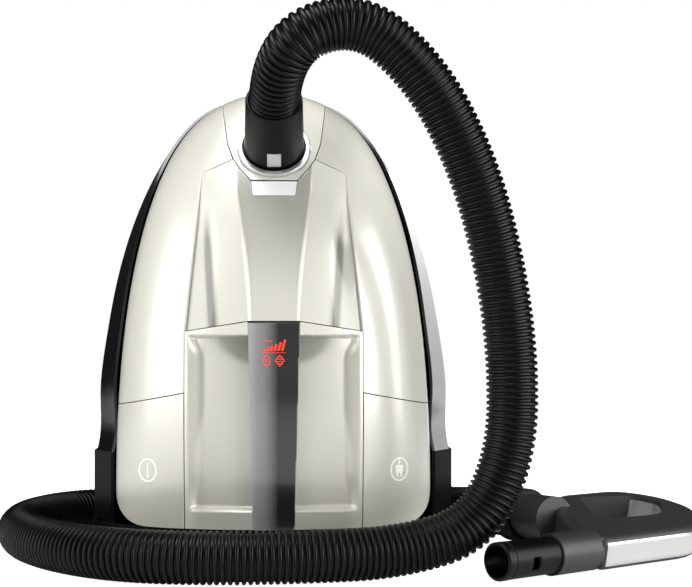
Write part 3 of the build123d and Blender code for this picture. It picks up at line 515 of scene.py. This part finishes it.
def turned(profile, start, axis, segments):
    """A turned wall through steps of distance and radius along an axis, in millimetres."""
    bpy.ops.object.select_all(action="DESELECT")
    bpy.ops.mesh.primitive_circle_add(
        vertices=segments, radius=profile[0][1] * MM, fill_type="NOTHING", location=(0, 0, 0)
    )
    piece = bpy.context.object
    bpy.ops.object.mode_set(mode="EDIT")
    bpy.ops.mesh.select_all(action="SELECT")
    bpy.ops.transform.translate(value=(0, 0, profile[0][0] * MM))
    for here, there in zip(profile, profile[1:]):
        rise = (there[0] - here[0]) * MM
        bpy.ops.mesh.extrude_edges_move(TRANSFORM_OT_translate={"value": (0, 0, rise)})
        growth = there[1] / here[1]
        bpy.ops.transform.resize(value=(growth, growth, 1), center_override=(0, 0, there[0] * MM))
    bpy.ops.mesh.select_all(action="SELECT")
    bpy.ops.mesh.remove_doubles(threshold=0.000001)
    bpy.ops.mesh.normals_make_consistent(inside=False)
    bpy.ops.object.mode_set(mode="OBJECT")
    piece.rotation_euler = axis.to_track_quat("Z", "Y").to_euler()
    piece.location = start * MM
    bpy.ops.object.transform_apply(location=True, rotation=True, scale=True)
    return piece


class CoverSettings(bpy.types.PropertyGroup):
    """Sizes and colours of the cover."""

    champagne: FloatVectorProperty(
        name="Champagne", description="Colour of the glossy cover", subtype="COLOR",
        default=(0.71, 0.7, 0.625), min=0, max=1,
    )
    graphite: FloatVectorProperty(
        name="Graphite", description="Colour of the display strip", subtype="COLOR",
        default=(0.36, 0.36, 0.36), min=0, max=1,
    )
    skin: FloatProperty(
        name="Skin", description="Thickness of the cover's panels", subtype="DISTANCE",
        default=0.003, min=0.001, max=0.006,
    )
    groove: FloatProperty(
        name="Groove", description="Depth of the valley beside each crease, in millimetres",
        default=3.0, min=0, max=10,
    )
    channel: FloatProperty(
        name="Channel", description="Depth of the middle channel, in millimetres", default=3.4, min=0, max=10,
    )
    pocket: FloatProperty(
        name="Pocket", description="Depth of the hand pocket, in millimetres", default=13.0, min=0, max=18,
    )


class HoseSettings(bpy.types.PropertyGroup):
    """Sizes of the ribbed hose."""

    radius: FloatProperty(
        name="Crest radius", description="Radius over the hose's ribs", subtype="DISTANCE",
        default=0.022, min=0.01, max=0.03,
    )
    valley: FloatProperty(
        name="Valley radius", description="Radius between the hose's ribs", subtype="DISTANCE",
        default=0.0195, min=0.01, max=0.03,
    )
    ribs: IntProperty(name="Ribs", description="Number of ribs on the hose", default=324, min=50, max=600)


class StageSettings(bpy.types.PropertyGroup):
    """Camera and lamps."""

    lens: FloatProperty(name="Lens", description="Camera lens in millimetres", default=84.3, min=20, max=200)
    backdrop: FloatProperty(
        name="Backdrop", description="Brightness of the world behind the cleaner", default=1.0, min=0, max=2
    )
    floor: FloatProperty(
        name="Floor", description="Own brightness of the white floor in the picture", default=0.92, min=0, max=2
    )


def hood_relief(x, z):
    """Depth of the lid's face under the cover's form: valley, ridge and middle channel."""
    cover = bpy.context.scene.cleaner_cover
    x = abs(x)
    crease = along(CREASE, z)
    fade = smooth(349, 300, z)
    reach = 17 + 9 * smooth(330, 220, z)
    valley = cover.groove * (1 - smooth(0.0, 1.0, (crease - x) / reach))
    floor = cover.channel * smooth(352, 300, z) * (1 - 0.45 * smooth(270, 214, z))
    middle = smooth(channel_at(z) + 2.0, channel_at(z) - 2.0, x)
    return fade * valley * (1 - middle) + floor * middle


def pocket_relief(x, z):
    """Depth of the hand pocket in the front cover, deepest under its upper rim."""
    cover = bpy.context.scene.cleaner_cover
    x = abs(x)
    wall = 62.0 + 8.0 * smooth(182, 203, z) + 5.0 * smooth(88, 58, z)
    side = smooth(74.0, wall, x)
    rim = smooth(203.5, 200.0, z)
    lip = smooth(51.5, 57.0, z)
    well = 1 - smooth(0.1, 1.0, math.hypot(x / 58, (201 - z) / 33))
    return cover.pocket * side * rim * lip * (0.55 + 0.45 * well)


def lid_painted_shade(x, z):
    """Painted shade in the lid's channel and a painted dark reflection along the soft stripe beside each
    crease.
    """
    middle = smooth(channel_at(z) + 0.6, channel_at(z) - 0.6, abs(x))
    stripe = 1 - smooth(0.0, 6.5, abs(abs(x) - 52 - 0.07 * (z - 214)))
    valley = smooth(48, 55, abs(x) - 0.07 * (z - 214))
    beside = (1 - middle) * smooth(325, 270, z)
    return middle * (0.1 + 0.45 * smooth(225, 318, z)) + beside * (0.95 * stripe + 0.5 * valley)


def flank_painted_shade(x, z):
    """Painted shade on the right shoulder beside the throat."""
    return 0.3 * smooth(325, 375, z) * smooth(92, 58, x) * (x > 0)


def pocket_painted_shade(x, z):
    """Painted shade in the scoop under the pocket's upper rim, on its side walls and on the lower edge."""
    scoop = 1 - smooth(0.84, 1.06, math.hypot(x / 52, max(0.0, 202 - z) / 27))
    floor = 0.23 * smooth(72, 62, abs(x)) * smooth(203.5, 200.5, z)
    inner = 59 + 7 * smooth(150, 95, z)
    wall = smooth(74.5, 72.5, abs(x)) * smooth(inner, inner + 5, abs(x))
    wall *= smooth(200, 185, z) * smooth(58, 85, z)
    return floor + 0.45 * scoop * smooth(203.5, 200.5, z) + 0.12 * smooth(57, 50, z) + 0.32 * wall


def strip_painted_reflection(x, z):
    """Painted reflection on the graphite: lighter at the strip's left edge, darker towards its right edge."""
    return 0.35 * smooth(-22, -12, x) + 0.85 * smooth(-14, 12, x)


def pedal_painted_shade(x, z):
    """Painted shade on a pedal's lower part, stronger on the left pedal."""
    return (0.25 if x < 0 else 0.1) * smooth(80, 58, z + 0.12 * (abs(x) - 110))


class CLEANER_OT_hose(bpy.types.Operator):
    """Lay the ribbed hose along its route"""

    bl_idname = "cleaner.hose"
    bl_label = "Ribbed hose"

    def execute(self, context):
        sizes = context.scene.cleaner_hose
        line = bpy.data.curves.new("hose_line", "CURVE")
        line.dimensions = "3D"
        line.resolution_u = 24
        spline = line.splines.new("NURBS")
        spline.points.add(len(HOSE_ROUTE) - 1)
        for spot, place in zip(spline.points, HOSE_ROUTE):
            spot.co = (*(place * MM), 1.0)
        spline.order_u = 3
        spline.use_endpoint_u = True
        guide = bpy.data.objects.new("hose_line", line)
        context.scene.collection.objects.link(guide)
        context.view_layer.update()
        trace = bpy.data.meshes.new_from_object(guide.evaluated_get(context.evaluated_depsgraph_get()))
        path = [spot.co.copy() for spot in trace.vertices]
        length = sum((b - a).length for a, b in zip(path, path[1:]))
        pitch = length / sizes.ribs
        rise = (sizes.radius - sizes.valley) / MM
        rib = [(share * pitch / MM, sizes.valley / MM + rise * lift) for share, lift in RIB_STEPS]
        hose = turned(rib, Vector(), Vector((1, 0, 0)), 28)
        shaped(
            hose, "ARRAY", fit_type="FIXED_COUNT", count=sizes.ribs, use_relative_offset=False,
            use_constant_offset=True, constant_offset_displace=(pitch, 0, 0),
            use_merge_vertices=True, merge_threshold=pitch * 0.05,
        )
        shaped(hose, "CURVE", object=guide, deform_axis="POS_X")
        bpy.data.objects.remove(guide)
        settled(hose, "ribbed_hose", "canister", FINISH["black_hose"], ["hose"], angle=60)
        return {"FINISHED"}


def trimmed(sheet, outline, cuts):
    """Trim a sheet to its outline and cut its holes."""
    if outline:
        carved(sheet, prism(outline), "INTERSECT")
    for cut in cuts:
        carved(sheet, cut, "DIFFERENCE")
    return sheet


def cover_panel(panel, name, body, slot, nodes, edge=0.5, finish=None):
    """Round the edges of a trimmed sheet and set it on its body."""
    shaped(panel, "BEVEL", width=edge * MM, segments=2, limit_method="ANGLE", angle_limit=math.radians(50))
    return settled(panel, name, body, FINISH[finish or slot], nodes)


def inlet_tool(radius):
    """A drill along the hose inlet."""
    bpy.ops.object.select_all(action="DESELECT")
    turn = INLET_AXIS.to_track_quat("Z", "Y").to_euler()
    bpy.ops.mesh.primitive_cylinder_add(
        vertices=96, radius=radius * MM, depth=0.14, location=INLET_CENTRE, rotation=turn
    )
    return bpy.context.object


class CLEANER_OT_finishes(bpy.types.Operator):
    """Make the finishes and give every solid its own"""

    bl_idname = "cleaner.finishes"
    bl_label = "Finishes"

    def execute(self, context):
        cover = context.scene.cleaner_cover
        FINISH.update(
            champagne_gloss=moulded(
                "champagne_lacquer", cover.champagne, 0.36, 0.6, 2600, 0.012, 0.012, 0.15, 0.03
            ),
            graphite_gloss=moulded("graphite_lacquer", cover.graphite, 0.22, 0.8, 1800, 0.01, 0.05, shaded_tone=0.04),
            red_lens=moulded("smoked_window", (0.035, 0.036, 0.039), 0.12, 1.0, 1800, 0.0, 0.02),
            board_green=moulded("board_green", (0.03, 0.16, 0.06), 0.5),
            silver_trim=moulded("silver_paint", (0.62, 0.62, 0.615), 0.28, 0.4, 2200, 0.02, 0.02, 0.75),
            steel=moulded("plain_steel", (0.5, 0.5, 0.5), 0.35, 0.0, 700, 0.03, 0.05, 1.0),
            black_gloss=moulded("black_lacquer", (0.002, 0.0026, 0.0032), 0.14, 1.0, 1500, 0.004, 0.05),
            black_plastic=moulded(
                "black_moulding", (0.0016, 0.0016, 0.002), 0.38, 0.0, 1400, 0.05, 0.1, shine=0.18
            ),
            grey_plastic=moulded("dark_grey_moulding", (0.025, 0.025, 0.026), 0.45, 0.0, 1400, 0.07, 0.08),
            black_rubber=moulded("matt_rubber", (0.012, 0.012, 0.012), 0.7, 0.0, 900, 0.1, 0.1),
            black_hose=moulded(
                "hose_black", (0.0014, 0.0014, 0.0018), 0.34, 0.0, 900, 0.03, 0.1, shine=0.18
            ),
            latch_white=moulded("latch_white", (0.9, 0.9, 0.89), 0.3, 0.3, 2200, 0.01, 0.01),
            bag_card=moulded("bag_card", (0.36, 0.24, 0.12), 0.8, 0.0, 500, 0.2, 0.12),
            bag_paper=moulded("bag_paper", (0.72, 0.7, 0.63), 0.85, 0.0, 350, 0.3, 0.08),
            filter_cloth=moulded("filter_fleece", (0.75, 0.75, 0.72), 0.9, 0.0, 420, 0.4, 0.08),
            white_print=lit("white_print", (0.9, 0.9, 0.88), 0.25),
            red_print=lit("red_print", (0.85, 0.035, 0.02), 0.8),
        )
        for part in frame["record"]["subparts"]:
            mesh = frame["nodes"][part["node"]].data
            mesh.materials.clear()
            mesh.materials.append(FINISH[part["material_slot"]])
        return {"FINISHED"}


class CLEANER_OT_cover(bpy.types.Operator):
    """Shape the hood, the front with its pocket, the pedals, the nose and the strip"""

    bl_idname = "cleaner.cover"
    bl_label = "Cover panels"

    def execute(self, context):
        skin = context.scene.cleaner_cover.skin
        gloss = "champagne_gloss"
        half = SEAM / 2
        wide = COVER_HALF + 20
        within = 70
        latch = mirrored([LATCH_FOOT, LATCH_TOP])
        throat = mirrored(THROAT)
        lid = cover_sheet(lid_spot, hood_relief, 150, 150, skin, lid_painted_shade)
        cover_panel(
            trimmed(lid, None, [prism(throat), prism(latch)]), "glossy_lid", "dust_lid", gloss, ["dust_lid"],
            LID_EDGE,
        )
        for side, name in ((-1, "left"), (1, "right")):
            panel = cover_sheet(on_side(side_spot, side), None, 50, 140, FLANK_SKIN, flank_painted_shade)
            foot = [(x, WING_INNER[1] + half - (x - WING_INNER[0]) * WING_FALL) for x in (wide, within)]
            below = [(side * x, z) for x, z in [(within, COVER_BOTTOM), (wide, COVER_BOTTOM), *foot]]
            cover_panel(
                trimmed(panel, None, [prism(below)]), f"{name}_flank", "canister", gloss,
                [f"{name}_side_panel"], LID_EDGE,
            )
        sheet = cover_sheet(bent((318, 340), 24), None, 24, 16, LATCH_SKIN)
        cover_panel(
            trimmed(sheet, drawn_in(latch, half), []), "silver_latch", "lid_latch", "silver_trim",
            ["lid_latch"], finish="latch_white",
        )
        nose = mirrored([(wide, NOSE_SEAM + SEAM), (wide, ABOVE_NOSE)])
        sheet = cover_sheet(bent((330, 412), 90), None, 90, 60, skin)
        cover_panel(
            trimmed(sheet, drawn_in(throat, SEAM), [prism(nose), inlet_tool(RING_RADIUS)]),
            "throat_panel", "canister", gloss, ["inlet_panel"],
        )
        halves = [
            cover_sheet(on_side(pocket_spot, side), pocket_relief, 70, 150, skin, pocket_painted_shade)
            for side in (1, -1)
        ]
        cover_panel(joined(halves), "pocket_front", "canister", gloss, ["front_cover"])
        strip = mirrored([STRIP_FOOT, STRIP_TOP])
        sheet = cover_sheet(bent((COVER_BOTTOM, 220), 12), None, 40, 80, STRIP_SKIN, strip_painted_reflection)
        cover_panel(
            trimmed(sheet, strip, []), "graphite_strip", "canister", "graphite_gloss",
            ["display_strip", "display_lens"],
        )
        for side, name in ((-1, "power"), (1, "rewind")):
            outline = [(WING_INNER[0], COVER_BOTTOM), WING_INNER, WING_OUTER]
            middle = (COVER_HALF - PEDAL_CORNER, COVER_BOTTOM + PEDAL_CORNER)
            for step in range(9):
                turn = math.radians(90 * step / 8)
                outline.append(
                    (middle[0] + PEDAL_CORNER * math.cos(turn), middle[1] - PEDAL_CORNER * math.sin(turn))
                )
            outline = drawn_in([(side * x, z) for x, z in outline], half)
            sheet = cover_sheet(bent((COVER_BOTTOM - 1, 156), 90), None, 170, 60, skin, pedal_painted_shade)
            cover_panel(
                trimmed(sheet, outline, []), f"{name}_press", f"{name}_pedal", gloss, [f"{name}_pedal"]
            )
        return {"FINISHED"}


def ring_stamp(centre, width, height, stroke, corners=48):
    """A flat ring of one stroke round a centre, oval where its width asks for it."""
    steps = [2 * math.pi * step / corners for step in range(corners)]
    mark = stamp(
        [(centre[0] + width / 2 * math.cos(step), centre[1] + height / 2 * math.sin(step)) for step in steps]
    )
    bpy.ops.object.mode_set(mode="EDIT")
    bpy.ops.mesh.select_all(action="SELECT")
    bpy.ops.mesh.inset(thickness=stroke * MM)
    bpy.ops.mesh.delete(type="FACE")
    bpy.ops.object.mode_set(mode="OBJECT")
    return mark


def bar_stamp(x, z, width, height, lean=0.0):
    """A flat bar on its foot, leaning to the right."""
    half = width / 2
    return stamp([(x - half, z), (x + half, z), (x + half + lean, z + height), (x - half + lean, z + height)])


def printed(marks, name, body, finish, lift=0.12):
    """Join flat marks and lay them on the cover's face, lifted by a little, in millimetres."""
    sign = joined(marks)
    for spot in sign.data.vertices:
        spot.co.y = (cover_y_at(spot.co.x / MM, spot.co.z / MM) - lift) * MM
    alone(sign)
    bpy.ops.object.mode_set(mode="EDIT")
    bpy.ops.mesh.select_all(action="SELECT")
    bpy.ops.mesh.normals_make_consistent(inside=False)
    bpy.ops.object.mode_set(mode="OBJECT")
    shaped(sign, "SOLIDIFY", thickness=PRINT_SKIN, offset=0.0)
    return settled(sign, name, body, FINISH[finish])


class CLEANER_OT_prints(bpy.types.Operator):
    """Print the pedal signs and the display's lit bars"""

    bl_idname = "cleaner.prints"
    bl_label = "Printed signs"

    def execute(self, context):
        x, z = PEDAL_ICON
        printed(
            [ring_stamp((-x, z), 16.6, 20.8, 1.3), bar_stamp(-x, z - 6.5, 1.0, 13)],
            "power_sign", "power_pedal", "white_print",
        )
        printed(
            [
                ring_stamp((x, z), 16.6, 20.8, 1.3), bar_stamp(x, z - 3, 6.4, 6.5),
                bar_stamp(x - 1.7, z - 6.5, 1.3, 3.6), bar_stamp(x + 1.7, z - 6.5, 1.3, 3.6),
                bar_stamp(x, z + 3.4, 1.1, 6),
            ],
            "plug_sign", "rewind_pedal", "white_print",
        )
        heights = [1.4, 2.4, 3.6, 5.2, 7.0, 9.2]
        bars = [
            bar_stamp(-8.6 + 3.1 * place, 190.0, 1.9, height, 0.28 * height)
            for place, height in enumerate(heights)
        ]
        bars += [bar_stamp(-9.2 + 2.6 * place, 187.9, 1.6, 0.5) for place in range(8)]
        bars += [bar_stamp(-7.4 + 2.4 * place, 197.4, 1.7, 0.9) for place in range(3)]
        bars += [ring_stamp((-6.2, 181.4), 6.6, 9.0, 0.6, 8), ring_stamp((-6.2, 181.6), 2.6, 2.6, 0.7, 12)]
        bars += [ring_stamp((4.9, 181.4), 8.6, 10.4, 0.6, 4)]
        bars += [bar_stamp(4.9, 178.6 + 1.9 * row, 5.0, 0.6) for row in range(4)]
        printed(bars, "display_marks", "canister", "red_print", 0.25)
        return {"FINISHED"}


class CLEANER_OT_handle(bpy.types.Operator):
    """Turn the handle's open tube and the ribbed cuff"""

    bl_idname = "cleaner.handle"
    bl_label = "Handle tube and cuff"

    def execute(self, context):
        tube = turned(
            [
                (0, 13.6), (0, 15.2), (0.8, 16), (7.4, 16), (7.9, 15.4), (8.9, 15.4), (9.3, 15.8),
                (62, 15.8), (62, 15.45), (83, 15.45), (83, 13.6), (0, 13.6),
            ],
            TIP, TUBE_DIR, 72,
        )
        middle = TIP + TUBE_DIR * 31.5 - ACROSS * 15
        bpy.ops.object.select_all(action="DESELECT")
        bpy.ops.mesh.primitive_cube_add(size=1)
        window = context.object
        lean = Matrix((TUBE_DIR, ACROSS, TUBE_DIR.cross(ACROSS))).transposed().to_4x4()
        size = Matrix.Diagonal((0.009, 0.008, 0.011, 1))
        window.matrix_world = Matrix.Translation(middle * MM) @ lean @ size
        carved(tube, window, "DIFFERENCE")
        settled(tube, "open_tube", "canister", FINISH["black_plastic"], ["handle_tube"], 30)
        wall = [(5.6, 13.6), (5.6, 17.0), (20.8, 17.0), (20.8, 23.2)]
        for rib in range(9):
            foot = 21.4 + 2.6 * rib
            wall += [(foot, 24.0), (foot + 0.5, 24.9), (foot + 1.6, 24.9), (foot + 2.1, 24.0)]
        wall += [(45.8, 24.0), (45.8, 22.4), (30.8, 22.4), (30.8, 13.6), (5.6, 13.6)]
        cuff = turned(wall, CUFF_ROOT, CUFF_AXIS, 64)
        settled(cuff, "ribbed_cuff", "hose_cuff", FINISH["black_plastic"], ["hose_cuff"], 30)
        return {"FINISHED"}


class CLEANER_OT_stage(bpy.types.Operator):
    """Set up the floor, the lamps, the world and the camera"""

    bl_idname = "cleaner.stage"
    bl_label = "Stage"

    def execute(self, context):
        settings = context.scene.cleaner_stage
        bpy.ops.object.select_all(action="DESELECT")
        bpy.ops.mesh.primitive_plane_add(size=12, location=(0, 0, 0))
        floor = context.object
        floor.name = "studio_floor"
        material, wire, shader = new_material("studio_floor")
        bright = material.node_tree.nodes.new("ShaderNodeBsdfPrincipled")
        for matt in (shader, bright):
            matt.inputs["Base Color"].default_value = (0.8, 0.8, 0.8, 1)
            matt.inputs["Roughness"].default_value = 0.9
        bright.inputs["Emission Color"].default_value = (1, 1, 1, 1)
        bright.inputs["Emission Strength"].default_value = settings.floor
        seen = wire.node("ShaderNodeLightPath", out=0)
        mixed = wire.node(
            "ShaderNodeMixShader", None,
            {0: seen, 1: Wire(wire.tree, shader.outputs[0]), 2: Wire(wire.tree, bright.outputs[0])},
        )
        wire.tree.links.new(mixed.socket, wire.tree.nodes["Material Output"].inputs[0])
        floor.data.materials.append(material)
        for name, (place, size, power) in LAMPS.items():
            bpy.ops.object.light_add(type="AREA", location=place)
            lamp = context.object
            lamp.name = name
            lamp.data.shape = "RECTANGLE"
            lamp.data.size, lamp.data.size_y = size
            lamp.data.energy = power
            lamp.rotation_euler = (LAMP_AIM - Vector(place)).to_track_quat("-Z", "Y").to_euler()
        shell = bpy.data.collections.new("rear_shell")
        shell.objects.link(frame["nodes"]["chassis"])
        bpy.data.objects["edge_panel"].light_linking.receiver_collection = shell
        world = bpy.data.worlds.new("studio")
        context.scene.world = world
        world.use_nodes = True
        sky = Wire(world.node_tree)
        direction = sky.node("ShaderNodeTexCoord", out=0)
        height = sky.node("ShaderNodeSeparateXYZ", None, {0: direction}, out=2)
        ahead = sky.node("ShaderNodeSeparateXYZ", None, {0: direction}, out=1)
        level = sky.node(
            "ShaderNodeValToRGB", {"stops": [(0.4, 0.36), (0.55, 0.36), (0.74, 0.16), (1.0, 0.1)]},
            {0: height * 0.5 + 0.5},
        )
        near = sky.node("ShaderNodeValToRGB", {"stops": [(0.45, 1.0), (0.62, 0.06)]}, {0: ahead * 0.5 + 0.5})
        level = level * near
        seen = sky.node("ShaderNodeLightPath", out=0)
        colour = sky.node(
            "ShaderNodeMix", {"data_type": "RGBA"}, {"Factor": seen, 6: level, 7: (1, 1, 1, 1)}, out=2
        )
        backdrop = world.node_tree.nodes["Background"]
        world.node_tree.links.new(colour.socket, backdrop.inputs["Color"])
        backdrop.inputs["Strength"].default_value = settings.backdrop
        tilt, pan = math.radians(90.76), math.radians(-2.545)
        bpy.ops.object.camera_add(location=(0, -1.5, 0.22), rotation=(tilt, 0, pan))
        camera = context.object
        camera.data.lens = settings.lens
        camera.data.sensor_width = 36
        context.scene.camera = camera
        context.scene.view_settings.view_transform = "Standard"
        return {"FINISHED"}


class CLEANER_PT_panel(bpy.types.Panel):
    """Lists the cleaner's pieces"""

    bl_idname = "CLEANER_PT_panel"
    bl_label = "Canister vacuum cleaner"
    bl_space_type = "VIEW_3D"
    bl_region_type = "UI"
    bl_category = "Cleaner"

    def draw(self, context):
        for operator in OPERATORS:
            self.layout.operator(operator.bl_idname)


SETTINGS = {"cleaner_cover": CoverSettings, "cleaner_hose": HoseSettings, "cleaner_stage": StageSettings}
OPERATORS = (
    CLEANER_OT_finishes,
    CLEANER_OT_stage,
    CLEANER_OT_hose,
    CLEANER_OT_cover,
    CLEANER_OT_prints,
    CLEANER_OT_handle,
)


def register():
    for group in SETTINGS.values():
        bpy.utils.register_class(group)
    for name, group in SETTINGS.items():
        setattr(bpy.types.Scene, name, PointerProperty(type=group))
    for cls in (*OPERATORS, CLEANER_PT_panel):
        bpy.utils.register_class(cls)


def unregister():
    for cls in (CLEANER_PT_panel, *reversed(OPERATORS)):
        bpy.utils.unregister_class(cls)
    for name, group in SETTINGS.items():
        delattr(bpy.types.Scene, name)
        bpy.utils.unregister_class(group)


def main():
    register()
    for operator in OPERATORS:
        group, name = operator.bl_idname.split(".")
        getattr(getattr(bpy.ops, group), name)()


if __name__ == "__main__":
    main()
